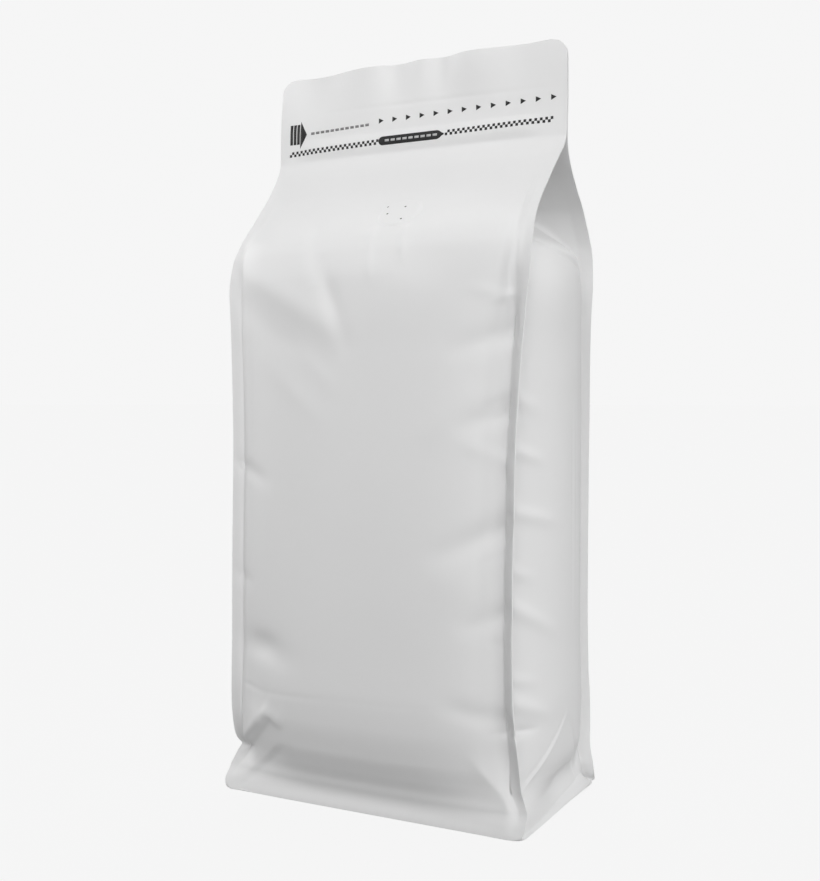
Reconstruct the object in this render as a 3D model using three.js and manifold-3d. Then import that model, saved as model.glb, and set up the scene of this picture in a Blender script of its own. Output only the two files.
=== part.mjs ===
// A block-bottom pouch for about a kilogram of coffee beans, filled and shut.
//
// Four film panels (front, back and two side gussets) are heat-sealed to each other along the four
// corners, where the seals stand out as thin fins, and to a base panel along the foot, where the
// seal is a skirt that the pouch stands on. Above the beans the front and back lean together at the
// shoulder, each gusset folds inwards between them, and the mouth ends in a flat band with a zip.
// A one-way valve sits on the front shoulder and shows as a low round rise.
//
// Millimetres. +Z is up, -Y is the front, +X is the side on the viewer's right.
// The origin is the middle of the foot, on the surface that the pouch stands on.

import * as THREE from "three";
import { mergeVertices } from "three/addons/utils/BufferGeometryUtils.js";
import Module from "manifold-3d";

const wasm = await Module();
wasm.setup();

// ---------------------------------------------------------------- driving dimensions

const WIDTH = 140; // across the foot and the mouth band
const DEPTH = 85; // front to back at the foot
const HEIGHT = 317; // foot to the lip of the mouth

const SEAL = 6.1; // width of a corner seal, from the filled body to its free edge
const FRONT_AT_FOOT = 0.3; // share of that width that is left at the foot, where the skirt takes over
const BACK_AT_FOOT = 0.85; // the same for the seals of the back
const SEAL_FULL = 20; // height from which a corner seal has its full width
const FIN = 0.9; // thickness of a corner seal
const FIN_SHARE = 0.45; // most that a seal may take of the depth between front and back
const FOOT_CUT = 4.5; // radius of the die-cut at the lower end of each corner seal
const FOOT_CORNER = 5; // radius of the foot's corners, seen from above
const MOUTH_CORNER = 7; // radius of the mouth's die-cut corners

const CLOSURE = 277; // height where the folded gussets are shut between front and back
const ZIP = 283; // height of the zip
const ZIP_RISE = 1.1; // how far the zip lifts the film of the front
const ZIP_REACH = 5; // half the height of that rise
const ZIP_SPAN = 0.9; // share of the width that the zip keeps its full rise over
const SLACK = 0.2; // share by which a gusset's folded walls stand off the front and back
const SLACK_TUCK = 20; // how far in a gusset is folded where its walls have all their slack

// A panel's bulge falls from its middle to the seals as a power of the way there. The front and back
// are flat in the middle and turn in the last third; the gussets are rounder.
const PANEL_POWER = 3.6;
const GUSSET_POWER = 2.3;
const BACK_SHARE = 0.86; // the back's bulge as a share of the front's

const BASE_GROOVE = { from: 1.2, to: 6.2, deep: 2.4 }; // inside the foot's edge, and how deep
const BASE_FLAT = { from: 10, to: 15, high: 2 }; // where the base panel comes down flat

const VALVE = { x: 10.4, z: 245.2, radius: 10, rise: 0.8, depth: 1.6, sides: 36 };
const CLEARANCE = 0.3; // gap between the valve and its seat
const POCKET_TOP = 6; // how far the cut for the seat reaches out of the film

// The filled shape, level by level. A curve through the values gives every height between them.
//   tip    how far the free edge of a corner seal is from the middle, left and right
//   fore   how far the free edges of the front's seals are in front of the middle
//   aft    how far the free edges of the back's seals are behind it
//   turn   how many degrees the seals point away from left and right, towards front and back
//   front  how far the middle of the front bulges past the seals' roots, and the back its share
//   side   the same for the gussets
//   tuck   how far the gussets are folded in from the seals' roots
const LEVELS = [
  { z: 0, tip: 70.0, fore: 42.5, aft: 42.5, turn: 3, front: 0, side: 0, tuck: 0 },
  { z: 1.2, tip: 70.1, fore: 42.1, aft: 41.8, turn: 3, front: 0.2, side: 1.1, tuck: 0 },
  { z: 4.5, tip: 70.5, fore: 40.8, aft: 39.8, turn: 3, front: 0.8, side: 1.3, tuck: 0 },
  { z: 9, tip: 70.3, fore: 37.8, aft: 38.7, turn: 5, front: 4.6, side: 2.3, tuck: 0 },
  { z: 13, tip: 69.0, fore: 37.3, aft: 39.9, turn: 11, front: 7, side: 5.3, tuck: 0 },
  { z: 18, tip: 67.8, fore: 38.1, aft: 41.6, turn: 20, front: 9.8, side: 8.4, tuck: 0 },
  { z: 26, tip: 67.3, fore: 39.4, aft: 43.1, turn: 26, front: 12.5, side: 10.2, tuck: 0 },
  { z: 38, tip: 66.7, fore: 41.5, aft: 44.2, turn: 27, front: 13.3, side: 11.2, tuck: 0 },
  { z: 52, tip: 65.8, fore: 42.7, aft: 44.6, turn: 27, front: 13.1, side: 12.4, tuck: 0 },
  { z: 78, tip: 65.4, fore: 42.7, aft: 44.4, turn: 27, front: 12.8, side: 12.4, tuck: 0 },
  { z: 150, tip: 65.8, fore: 40.7, aft: 44.2, turn: 27, front: 12.4, side: 11.9, tuck: 0 },
  { z: 170, tip: 66.6, fore: 40.0, aft: 42.4, turn: 26, front: 12.2, side: 11.2, tuck: 0 },
  { z: 190, tip: 67.8, fore: 39.0, aft: 39.5, turn: 22, front: 12.1, side: 10.7, tuck: 0 },
  { z: 208, tip: 69.2, fore: 37.9, aft: 37.1, turn: 17, front: 12.4, side: 9.8, tuck: 0 },
  { z: 218, tip: 70.0, fore: 36.8, aft: 36.3, turn: 12, front: 12.3, side: 8.5, tuck: 0 },
  { z: 229, tip: 69.7, fore: 34.0, aft: 36.7, turn: 5, front: 11, side: 6.8, tuck: 0.6 },
  { z: 234, tip: 69.3, fore: 31.4, aft: 36.7, turn: 1, front: 10.2, side: 6.3, tuck: 4.5 },
  { z: 238, tip: 68.8, fore: 29.0, aft: 36.0, turn: -2, front: 8.8, side: 5.6, tuck: 9.5 },
  { z: 248, tip: 68.0, fore: 20.8, aft: 31.2, turn: -1, front: 5.5, side: 3, tuck: 20 },
  { z: 258, tip: 68.1, fore: 11.4, aft: 21.2, turn: 0, front: 2.8, side: 1.5, tuck: 28 },
  { z: 268, tip: 69.0, fore: 2.8, aft: 9.9, turn: 0, front: 0.9, side: 0.6, tuck: 34 },
  { z: 273, tip: 69.6, fore: -1.1, aft: 6.0, turn: 0, front: 0.2, side: 0.3, tuck: 37 },
  { z: 278, tip: 69.9, fore: -3.1, aft: 4.6, turn: 0, front: 0, side: 0, tuck: 39 },
  { z: 300, tip: 70.0, fore: -3.8, aft: 5.4, turn: 0, front: 0, side: 0, tuck: 39 },
  { z: 317, tip: 70.0, fore: -4.6, aft: 6.2, turn: 0, front: 0, side: 0, tuck: 39 },
];

// The lip waves front to back: each wave is centred at x and is `wide` across.
const LIP_WAVES = [
  { x: -53, wide: 13, set: 6.3 },
  { x: -9.5, wide: 6.5, set: 3.6 },
  { x: 12.5, wide: 5.5, set: 2.9 },
  { x: 28, wide: 7, set: -1.5 },
  { x: 49, wide: 7, set: 1.4 },
];
const LIP_REST = 1.4; // how far forward the lip lies between its waves
const WAVE_START = 290; // height from which the waves grow

// How many pieces each stretch of a section is cut into, and the heights of the sections.
const FRONT_STEPS = 20;
const GUSSET_STEPS = 12;
const WALL_STEPS = 2;
const STACK = [
  { to: FOOT_CUT, step: 1.5 },
  { to: 9, step: 4.5 },
  { to: 30, step: 3.5 },
  { to: 60, step: 7.5 },
  { to: 200, step: 20 },
  { to: 229, step: 5.8 },
  { to: 250, step: 3.5 },
  { to: 271, step: 5.3 },
  { to: CLOSURE, step: 3 },
  { to: 291, step: 2.8 },
  { to: HEIGHT - MOUTH_CORNER, step: 6.4 },
  { to: HEIGHT, step: 1.4 },
];

const SAME_POINT = 1e-3; // points nearer to each other than this are one

// ---------------------------------------------------------------- small helpers

const mix = (a, b, t) => a + (b - a) * t;
const clamp01 = (t) => Math.min(1, Math.max(0, t));
const radians = THREE.MathUtils.degToRad;

function ease(from, to, value) {
  const t = clamp01((value - from) / (to - from));
  return t * t * (3 - 2 * t);
}

function hump(value, centre, wide) {
  return Math.exp(-0.5 * ((value - centre) / wide) ** 2);
}

// A smooth curve through one column of LEVELS. Each slope is the mean of the two beside it, and
// none where the values turn, so that the curve never swings past a level.
function level(name, z) {
  const last = LEVELS.length - 1;
  let i = 0;
  while (i < last - 1 && LEVELS[i + 1].z < z) i++;
  const slopeOf = (k) => (LEVELS[k + 1][name] - LEVELS[k][name]) / (LEVELS[k + 1].z - LEVELS[k].z);
  const tangent = (k) => {
    if (k === 0) return slopeOf(0);
    if (k === last) return slopeOf(last - 1);
    const before = slopeOf(k - 1);
    const after = slopeOf(k);
    return before * after <= 0 ? 0 : (2 * before * after) / (before + after);
  };
  const a = LEVELS[i];
  const b = LEVELS[i + 1];
  const run = b.z - a.z;
  const t = clamp01((z - a.z) / run);
  const t2 = t * t;
  const t3 = t2 * t;
  return (
    (2 * t3 - 3 * t2 + 1) * a[name] +
    (t3 - 2 * t2 + t) * run * tangent(i) +
    (3 * t2 - 2 * t3) * b[name] +
    (t3 - t2) * run * tangent(i + 1)
  );
}

// ---------------------------------------------------------------- the section at a height

// The share of a panel's bulge at a share s of the way from its middle to a seal.
const crown = (s, power) => 1 - Math.abs(s) ** power;

// How far the die-cut corner of the mouth takes the edge in at a height.
function mouthCut(z) {
  const up = z - (HEIGHT - MOUTH_CORNER);
  if (up <= 0) return 0;
  return MOUTH_CORNER - Math.sqrt(Math.max(0, MOUTH_CORNER ** 2 - up ** 2));
}

// How far the waves of the lip set the film back at x and z.
function lipWave(x, z) {
  const wave = LIP_WAVES.reduce((sum, w) => sum + w.set * hump(x, w.x, w.wide), -LIP_REST);
  return wave * ease(WAVE_START, HEIGHT, z);
}

// How wide a corner seal is at a height: it narrows towards the foot.
function sealWidth(z, end) {
  return SEAL * mix(end < 0 ? FRONT_AT_FOOT : BACK_AT_FOOT, 1, ease(0, SEAL_FULL, z));
}

// A corner seal at +X, of the front (end -1) or the back (end +1), as its four corners in section:
// root and outer edge on the panel's side, then outer edge and root on the gusset's side.
function cornerSeal(z, end) {
  const fore = level("fore", z);
  const aft = level("aft", z);
  const angle = radians(level("turn", z));
  const thick = Math.min(FIN, FIN_SHARE * (fore + aft));
  const along = new THREE.Vector2(Math.cos(angle), end * Math.sin(angle));
  const across = new THREE.Vector2(Math.sin(angle), -end * Math.cos(angle));
  const outer = new THREE.Vector2(level("tip", z) - mouthCut(z), end < 0 ? -fore : aft);
  const root = outer.clone().addScaledVector(along, -sealWidth(z, end));
  const inner = outer.clone().addScaledVector(across, thick);
  const back = root.clone().addScaledVector(across, thick);
  const seal = [root, outer, inner, back];
  if (z > CLOSURE) {
    // Above the closure the folded gusset is shut inside the band, whose edge has no groove.
    inner.set(outer.x, (aft - fore) / 2);
    back.copy(inner);
  }
  if (z >= FOOT_CUT) return seal;
  // At the foot the die-cut takes the seal's lower end back into the skirt's corner.
  const cut = Math.sqrt(1 - (1 - z / FOOT_CUT) ** 2);
  return seal.map((point, i) => footArc(90 - 30 * i, end).lerp(point, cut));
}

// A point on the foot's rounded corner, `degrees` round from straight left and right.
function footArc(degrees, end) {
  const across = WIDTH / 2 - FOOT_CORNER * (1 - Math.cos(radians(degrees)));
  const deep = DEPTH / 2 - FOOT_CORNER * (1 - Math.sin(radians(degrees)));
  return new THREE.Vector2(across, end * deep);
}

// The gusset at +X, from its front root to its back root. Where it is folded in, it runs in along
// the front, across at the fold, and out along the back.
function gusset(z, front, back) {
  const shut = z > CLOSURE;
  const tuck = shut ? 0 : level("tuck", z);
  const side = level("side", z);
  const middle = (front.y + back.y) / 2;
  const off = 1 - SLACK * clamp01(tuck / SLACK_TUCK);
  const fold = [];
  for (let i = 0; i <= GUSSET_STEPS; i++) {
    const t = i / GUSSET_STEPS;
    const x = mix(front.x, back.x, t) - tuck + side * crown(2 * t - 1, GUSSET_POWER);
    fold.push(new THREE.Vector2(x, middle + (mix(front.y, back.y, t) - middle) * off));
  }
  const wall = (root, end) =>
    Array.from({ length: WALL_STEPS - 1 }, (_, i) => root.clone().lerp(end, (i + 1) / WALL_STEPS));
  return [...wall(front, fold[0]), ...fold, ...wall(back, fold[GUSSET_STEPS]).reverse()];
}

// The zip's rise on the front film.
const zipRise = (z) => ZIP_RISE * clamp01(1 - ((z - ZIP) / ZIP_REACH) ** 2);

// How far the front (end -1) or back (end +1) film is from the seal's root, at a share s of the way
// from the middle to the seal.
function panelRise(z, s, end) {
  const bulge = level("front", z) * crown(s, PANEL_POWER);
  if (end > 0) return BACK_SHARE * bulge;
  return -bulge - zipRise(z) * ease(1, ZIP_SPAN, Math.abs(s));
}

// The whole outline at a height, anticlockwise from above, starting at the front's left.
function section(z) {
  const front = cornerSeal(z, -1);
  const back = cornerSeal(z, 1);
  const side = gusset(z, front[3], back[3]);
  const panel = (root, end) =>
    Array.from({ length: FRONT_STEPS - 1 }, (_, i) => {
      const s = (2 * (i + 1)) / FRONT_STEPS - 1;
      return new THREE.Vector2(-end * s * root.x, root.y + panelRise(z, s, end));
    });
  const right = [...front, ...side, ...back.slice().reverse()];
  const left = right.map((p) => new THREE.Vector2(-p.x, p.y)).reverse();
  const outline = [...panel(front[0], -1), ...right, ...panel(back[0], 1), ...left];
  return outline.map((p) => new THREE.Vector3(p.x, p.y + lipWave(p.x, z), z));
}

// ---------------------------------------------------------------- the pouch

// The heights of the sections, each stretch of STACK cut into equal steps.
function heights() {
  const list = [0];
  for (const { to, step } of STACK) {
    const from = list[list.length - 1];
    const count = Math.max(1, Math.round((to - from) / step));
    for (let i = 1; i <= count; i++) list.push(from + ((to - from) * i) / count);
  }
  return list;
}

// The foot from below: the skirt's edge, a groove inside it, and the base panel that the beans press
// flat. Each ring is the foot's outline, drawn in by a distance.
function baseRings(foot) {
  const inset = (by, z) => {
    const kx = 1 - by / (WIDTH / 2);
    const ky = 1 - by / (DEPTH / 2);
    return foot.map((p) => new THREE.Vector3(p.x * kx, p.y * ky, z));
  };
  return [
    inset(BASE_FLAT.to, 0),
    inset(BASE_FLAT.from, BASE_FLAT.high),
    inset(BASE_GROOVE.to, BASE_GROOVE.deep),
    inset(BASE_GROOVE.from, 0),
  ];
}

// Stacks rings of points into one closed mesh: a fan under the first ring, a cap over the last.
function stack(rings) {
  const count = rings[0].length;
  const points = rings.flat();
  const index = [];
  for (let k = 0; k < rings.length - 1; k++) {
    for (let i = 0; i < count; i++) {
      const a = k * count + i;
      const b = k * count + ((i + 1) % count);
      index.push(a, b, b + count, a, b + count, a + count);
    }
  }
  const hub = points.length;
  points.push(new THREE.Vector3(0, 0, rings[0][0].z));
  for (let i = 0; i < count; i++) index.push(hub, (i + 1) % count, i);

  const lid = rings[rings.length - 1];
  const base = (rings.length - 1) * count;
  const flat = lid.map((p) => new THREE.Vector2(p.x, p.y));
  const kept = flat.map((p, i) => i).filter((i) => flat[i].distanceTo(flat[(i + 1) % count]) > SAME_POINT);
  const faces = THREE.ShapeUtils.triangulateShape(kept.map((i) => flat[i]), []);
  faces.forEach(([a, b, c]) => index.push(base + kept[a], base + kept[b], base + kept[c]));

  const geometry = new THREE.BufferGeometry().setFromPoints(points);
  geometry.setIndex(index);
  return closed(geometry);
}

// Merges shared vertices, and drops the faces that have no area where points meet.
function closed(geometry) {
  const bare = new THREE.BufferGeometry().setAttribute("position", geometry.getAttribute("position"));
  bare.setIndex(geometry.index);
  const merged = mergeVertices(bare, SAME_POINT);
  const all = merged.index.array;
  const kept = [];
  for (let i = 0; i < all.length; i += 3) {
    const [a, b, c] = [all[i], all[i + 1], all[i + 2]];
    if (a !== b && b !== c && c !== a) kept.push(a, b, c);
  }
  merged.setIndex(kept);
  return merged;
}

function solidOf(geometry) {
  return new wasm.Manifold(
    new wasm.Mesh({
      numProp: 3,
      vertProperties: new Float32Array(geometry.getAttribute("position").array),
      triVerts: new Uint32Array(geometry.index.array),
    }),
  );
}

function geometryOf(solid) {
  const mesh = solid.getMesh();
  const geometry = new THREE.BufferGeometry();
  geometry.setAttribute("position", new THREE.BufferAttribute(mesh.vertProperties, 3));
  geometry.setIndex(new THREE.BufferAttribute(mesh.triVerts, 1));
  return geometry;
}

const rings = heights().map(section);
const body = stack([...baseRings(rings[0]), ...rings]);

// ---------------------------------------------------------------- the valve

// Where the front film is at x and z, and which way it faces there.
function frontFilm(x, z) {
  const surface = (u, w) => {
    const root = cornerSeal(w, -1)[0];
    return root.y + panelRise(w, u / root.x, -1);
  };
  const near = VALVE.radius / 2;
  const slopeX = (surface(x + near, z) - surface(x - near, z)) / (2 * near);
  const slopeZ = (surface(x, z + near) - surface(x, z - near)) / (2 * near);
  return {
    point: new THREE.Vector3(x, surface(x, z), z),
    normal: new THREE.Vector3(slopeX, -1, slopeZ).normalize(),
  };
}

// A round disc with a soft shoulder, its axis along +Y of the lathe, from `bottom` to `top`.
function disc(radius, bottom, top, soft) {
  const profile = [
    new THREE.Vector2(0, bottom),
    new THREE.Vector2(radius, bottom),
    new THREE.Vector2(radius, top - soft),
    new THREE.Vector2(radius - soft, top),
    new THREE.Vector2(0, top),
  ];
  const lathe = new THREE.LatheGeometry(profile, VALVE.sides);
  lathe.deleteAttribute("normal");
  lathe.deleteAttribute("uv");
  return closed(lathe);
}

const seat = frontFilm(VALVE.x, VALVE.z);
const onFilm = new THREE.Matrix4().compose(
  seat.point,
  new THREE.Quaternion().setFromUnitVectors(new THREE.Vector3(0, 1, 0), seat.normal),
  new THREE.Vector3(1, 1, 1),
);
const { radius, depth, rise } = VALVE;
const pocket = disc(radius + CLEARANCE, -depth - CLEARANCE, POCKET_TOP, CLEARANCE).applyMatrix4(onFilm);
const valveShape = disc(radius, -depth, rise, rise).applyMatrix4(onFilm);
const pouchShape = geometryOf(solidOf(body).subtract(solidOf(pocket)));

// ---------------------------------------------------------------- the group

function piece(name, geometry, color, roughness) {
  geometry.computeVertexNormals();
  const material = new THREE.MeshStandardMaterial({ color, roughness, metalness: 0 });
  const mesh = new THREE.Mesh(geometry, material);
  mesh.name = name;
  return mesh;
}

const pouch = new THREE.Group();
pouch.add(piece("film_pouch", pouchShape, 0xdedede, 0.5));
pouch.add(piece("valve", valveShape, 0xe2e2e2, 0.45));

export default pouch;
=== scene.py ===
# %% [markdown]
# # A block-bottom coffee pouch
# A pouch like this starts as flat plastic film. Five panels of it are welded to each other with hot
# bars: a front, a back, two sides that fold (the gussets) and a base. Filled with about a kilogram
# of beans it stands up like a box, and everything that makes it look real is film under tension:
# the weld fins at the corners, the hollow where a gusset folds in, the slack round the foot.
#
# We build it the same way here, panel by panel. Each panel is a surface worked out with numpy as a
# function of two parameters, put into a mesh as a grid, and given the thickness of film. The packed
# model comes first, because it fixes where everything is.

import bmesh
import bpy
import numpy as np
from mathutils import Matrix, Vector


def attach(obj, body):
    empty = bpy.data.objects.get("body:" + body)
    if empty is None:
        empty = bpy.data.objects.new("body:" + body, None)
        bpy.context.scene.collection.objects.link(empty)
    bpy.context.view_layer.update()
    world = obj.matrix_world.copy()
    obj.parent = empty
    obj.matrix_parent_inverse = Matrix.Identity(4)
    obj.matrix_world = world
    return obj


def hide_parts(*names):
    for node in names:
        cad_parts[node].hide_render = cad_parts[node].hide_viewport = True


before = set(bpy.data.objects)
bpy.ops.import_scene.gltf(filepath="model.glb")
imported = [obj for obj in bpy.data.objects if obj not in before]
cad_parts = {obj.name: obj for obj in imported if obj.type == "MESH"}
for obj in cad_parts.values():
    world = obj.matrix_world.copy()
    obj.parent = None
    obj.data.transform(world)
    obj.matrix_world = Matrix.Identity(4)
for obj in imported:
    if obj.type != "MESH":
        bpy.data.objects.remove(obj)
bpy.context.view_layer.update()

# %% [markdown]
# ## The sizes
# Film pouches are made on machines that are set in millimetres, so the sizes here are millimetres
# too, and one factor turns them into Blender's metres at the moment a mesh is made. These are the
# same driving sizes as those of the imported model: the five panels have to land on it.

# %% Driving sizes, in millimetres
MM = 0.001
WIDTH, DEPTH, HEIGHT = 140.0, 85.0, 317.0  # of the foot, and up to the lip
SEAL = 6.1  # width of a corner weld
FRONT, BACK = -1, 1  # the two ends of the depth
SEAL_AT_FOOT = {FRONT: 0.3, BACK: 0.85}  # share of that width that is left at the foot
SEAL_FULL = 20.0  # height where it is whole
FILM = 0.3  # thickness of one film
LAP = 2 * FILM + 0.04  # from the skin of a panel to the skin of the gusset welded behind it
FOOT_CUT = {FRONT: 4.5, BACK: 1.6}  # radius of the die-cut at the lower end of a weld
FOOT_CORNER = 5.0  # radius of the foot's corners, from above
MOUTH_CORNER = 7.0  # radius of the die-cut corners of the mouth
CLOSURE = 277.0  # height where the folded gussets are shut
ZIP, ZIP_RISE, ZIP_REACH = 283.0, 1.1, 5.0  # height of the zip, how far it stands out and reaches
ZIP_SPAN, ZIP_FADE = 0.9, 14.0  # share of the width that the zip takes, and how it dies away
ZIP_POWER = 1.5  # how sharply the zip's rise falls off
PANEL_POWER, GUSSET_POWER = 3.6, 2.3
BULGE = {FRONT: 1.0, BACK: 0.86}  # the back bulges a little less than the front
SLACK = 0.2  # share by which a folded gusset's walls stand off the front and back
SLACK_TUCK, SOFT_TUCK = 20.0, 6.0  # how far in it is folded where slack and rounding are whole
WALL_SHARE = 0.36  # share of a folded gusset's width that lies along front and back
FOLD_SOFT = 0.13  # how widely, as a share of its width, the folded gusset's corners are rounded
SAME_POINT = 0.001  # points nearer to each other than this are one

# %% [markdown]
# ## The filled shape
# A filled pouch has no drawing, but it can be read level by level: how far out the free edges of
# the four welds are, which way the welds point, how far the panels bulge past them and how deep the
# gussets are folded in. Between the levels a smooth curve fills in the rest. Its slope at each
# level is the harmonic mean of the slopes on both sides, so it never swings past a level the way
# an ordinary spline does.
#
# The columns of the table are the height z; `tip`, `fore` and `aft`, how far a weld's free edge is
# from the middle to the side, forwards at the front and backwards at the back; `turn`, how many
# degrees the welds point away from straight sideways; `front` and `side`, how far the middle of a
# panel bulges past the welds' roots; and `tuck`, how far the gussets are folded in.

# %% The levels and the curve through them
COLUMNS = ("z", "tip", "fore", "aft", "turn", "front", "side", "tuck")
LEVELS = np.array([
    (0, 70.0, 42.5, 42.5, 3, 0, 0, 0),
    (1.2, 70.1, 42.1, 41.8, 3, 0.2, 1.1, 0),
    (4.5, 70.5, 40.8, 39.8, 3, 0.8, 1.3, 0),
    (9, 70.3, 37.8, 38.7, 5, 4.6, 2.3, 0),
    (13, 69.0, 37.3, 39.9, 11, 7, 5.3, 0),
    (18, 67.8, 38.1, 41.6, 20, 9.8, 8.4, 0),
    (26, 67.3, 39.4, 43.1, 26, 12.5, 10.2, 0),
    (38, 66.7, 41.5, 44.2, 27, 13.3, 11.2, 0),
    (52, 65.8, 42.7, 44.6, 27, 13.1, 12.4, 0),
    (78, 65.4, 42.7, 44.4, 27, 12.8, 12.4, 0),
    (150, 65.8, 40.7, 44.2, 27, 12.4, 11.9, 0),
    (170, 66.6, 40.0, 42.4, 26, 12.2, 11.2, 0),
    (190, 67.8, 39.0, 39.5, 22, 12.1, 10.7, 0),
    (208, 69.2, 37.9, 37.1, 17, 12.4, 9.8, 0),
    (218, 70.0, 36.8, 36.3, 12, 12.3, 8.5, 0),
    (229, 69.7, 34.0, 36.7, 5, 11, 6.8, 0.6),
    (234, 69.3, 31.4, 36.7, 1, 10.2, 6.3, 4.5),
    (238, 68.8, 29.0, 36.0, -2, 8.8, 5.6, 9.5),
    (248, 68.0, 20.8, 31.2, -1, 5.5, 3, 20),
    (258, 68.1, 11.4, 21.2, 0, 2.8, 1.5, 28),
    (268, 69.0, 2.8, 9.9, 0, 0.9, 0.6, 34),
    (273, 69.6, -1.1, 6.0, 0, 0.2, 0.3, 37),
    (278, 69.9, -3.1, 4.6, 0, 0, 0, 39),
    (300, 70.0, -3.8, 5.4, 0, 0, 0, 39),
    (317, 70.0, -4.6, 6.2, 0, 0, 0, 39),
], float)


def level(name, z):
    """The value of one column at the heights z: a cubic between levels whose slope at a level is
    the harmonic mean of the slopes beside it, and nought where the values turn."""
    heights, values = LEVELS[:, 0], LEVELS[:, COLUMNS.index(name)]
    slopes = np.diff(values) / np.diff(heights)
    before, after = slopes[:-1], slopes[1:]
    same_way = before * after > 0
    mean = np.where(same_way, 2 * before * after / np.where(same_way, before + after, 1), 0)
    tangents = np.concatenate([slopes[:1], mean, slopes[-1:]])
    i = np.clip(np.searchsorted(heights, z, side="right") - 1, 0, len(heights) - 2)
    run = heights[i + 1] - heights[i]
    t = np.clip((z - heights[i]) / run, 0, 1)
    return (
        (2 * t**3 - 3 * t**2 + 1) * values[i]
        + (t**3 - 2 * t**2 + t) * run * tangents[i]
        + (3 * t**2 - 2 * t**3) * values[i + 1]
        + (t**3 - t**2) * run * tangents[i + 1]
    )


print("half width at the waist:", round(float(level("tip", np.array(120.0))), 2), "mm")

# %% [markdown]
# ## The lip
# The mouth isn't stiffened by anything, so the lip waves gently front to back. Each wave is a hump
# along x, and all of them grow from nothing just above the zip to their full size at the lip. Every
# panel of the band gets the same waves, or the layers would cut through each other.

# %% Waves of the lip (centre, reach, how far back) and cut corners
LIP_WAVES = ((-53, 13, 6.3), (-9.5, 6.5, 3.6), (12.5, 5.5, 2.9), (28, 7, -1.5), (49, 7, 1.4))
LIP_REST = 1.4  # how far forward the lip lies between its waves
WAVE_START = 290.0  # height from which the waves grow


def ease(start, end, value):
    """Nought before start, one after end, and a smooth S between: 3t squared less 2t cubed."""
    t = np.clip((value - start) / (end - start), 0, 1)
    return t * t * (3 - 2 * t)


def hump(value, centre, wide):
    """A bell curve of height one."""
    return np.exp(-0.5 * ((value - centre) / wide) ** 2)


def lip_wave(x, z):
    """How far the lip's waves set the film back: humps along x, eased in with height."""
    waves = sum(deep * hump(x, centre, wide) for centre, wide, deep in LIP_WAVES) - LIP_REST
    return waves * ease(WAVE_START, HEIGHT, z)


def mouth_cut(z):
    """How far the rounded corner of the mouth takes the edge in at height z: a quarter circle."""
    up = np.clip(z - (HEIGHT - MOUTH_CORNER), 0, MOUTH_CORNER)
    return MOUTH_CORNER - np.sqrt(MOUTH_CORNER**2 - up**2)


# %% [markdown]
# ## The corner welds
# Where two panels meet they are welded skin to skin, and the weld stands out as a fin. Its free
# edge comes from the levels; from there the fin runs inwards at its own angle to its root, where
# the two films part. At the foot the fin is die-cut, and its end bends round into the corner of
# the skirt. All of this is written for the right-hand side and mirrored for the left.

# %% The weld at a corner
FOOT_SPLIT = 45  # degrees round the foot's corner where the front's film meets the gusset's


def seal_width(z, end):
    """The weld's width: whole from a little above the foot, and a share of it at the foot."""
    return SEAL * (SEAL_AT_FOOT[end] + (1 - SEAL_AT_FOOT[end]) * ease(0, SEAL_FULL, z))


def root_of(z):
    """How far out the root of the front's welds is at the heights z."""
    inwards = np.cos(np.radians(level("turn", z))) * seal_width(z, FRONT)
    return level("tip", z) - mouth_cut(z) - inwards


def corner(z, end):
    """Root, direction along the weld towards its free edge, and direction across it towards the
    gusset's skin, each as (x, y), for the right-hand corner at the front or the back."""
    turn = np.radians(level("turn", z))
    along = np.stack([np.cos(turn), end * np.sin(turn)], -1)
    across = np.stack([np.sin(turn), -end * np.cos(turn)], -1)
    reach = level("fore", z) if end == FRONT else level("aft", z)
    edge = np.stack([level("tip", z) - mouth_cut(z), end * reach], -1)
    return edge - along * seal_width(z, end)[..., None], along, across


def foot_arc(degrees, end):
    """A point of the foot's rounded corner, as (x, y), so many degrees round from the side."""
    angle = np.radians(degrees)
    x = WIDTH / 2 - FOOT_CORNER * (1 - np.cos(angle))
    return np.stack([x, end * (DEPTH / 2 - FOOT_CORNER * (1 - np.sin(angle)))], -1)


def weld(out, z, end, behind, degrees):
    """The weld's skin: `out` of the way from root to free edge, `behind` mm across it, pulled round
    to the foot's corner at so many degrees as the quarter circle of the die-cut says."""
    root, along, across = corner(z, end)
    point = root + along * (seal_width(z, end) * out)[..., None] + across * behind
    cut = np.sqrt(1 - (1 - np.clip(z / FOOT_CUT[end], 0, 1)) ** 2)[..., None]
    return foot_arc(degrees, end) * (1 - cut) + point * cut


# %% [markdown]
# ## Front and back, before any wrinkle
# A panel's first parameter, q, runs across it: from -1 to 1 it is the panel proper, and beyond
# that, out to -2 and 2, it is the two welds. The second is the height. In between the roots the
# panel bulges as a power of the way out from the middle: flat in the middle, turning near the
# welds, because beans press it out and the welds hold it in.

# %% Panel surface
def panel(q, z, end):
    """Front or back film: the weld's root carried inwards in proportion to q, and moved out by the
    bulge times one less |q| to a power; past |q| = 1 the weld itself."""
    share, out, side = np.clip(np.abs(q), 0, 1), np.clip(np.abs(q) - 1, 0, 1), np.sign(q)
    skin = weld(out, z, end, 0.0, 90 - FOOT_SPLIT * out)
    bulge = level("front", z) * (1 - share**PANEL_POWER)
    x = side * share * skin[..., 0]
    y = skin[..., 1] + end * bulge * BULGE[end]
    return np.stack([x, y + lip_wave(x, z), z + 0 * x], -1)


# %% [markdown]
# ## The gussets, before any wrinkle
# A gusset is one wide strip of film welded to the front along one edge and to the back along the
# other. Below the shoulder it is pushed out like the panels. Above it, it folds in: the strip runs
# inwards along the front, crosses over, and runs out again along the back. The corners of that path
# are rounded by averaging it with itself a little to the left and right along the strip.

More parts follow.
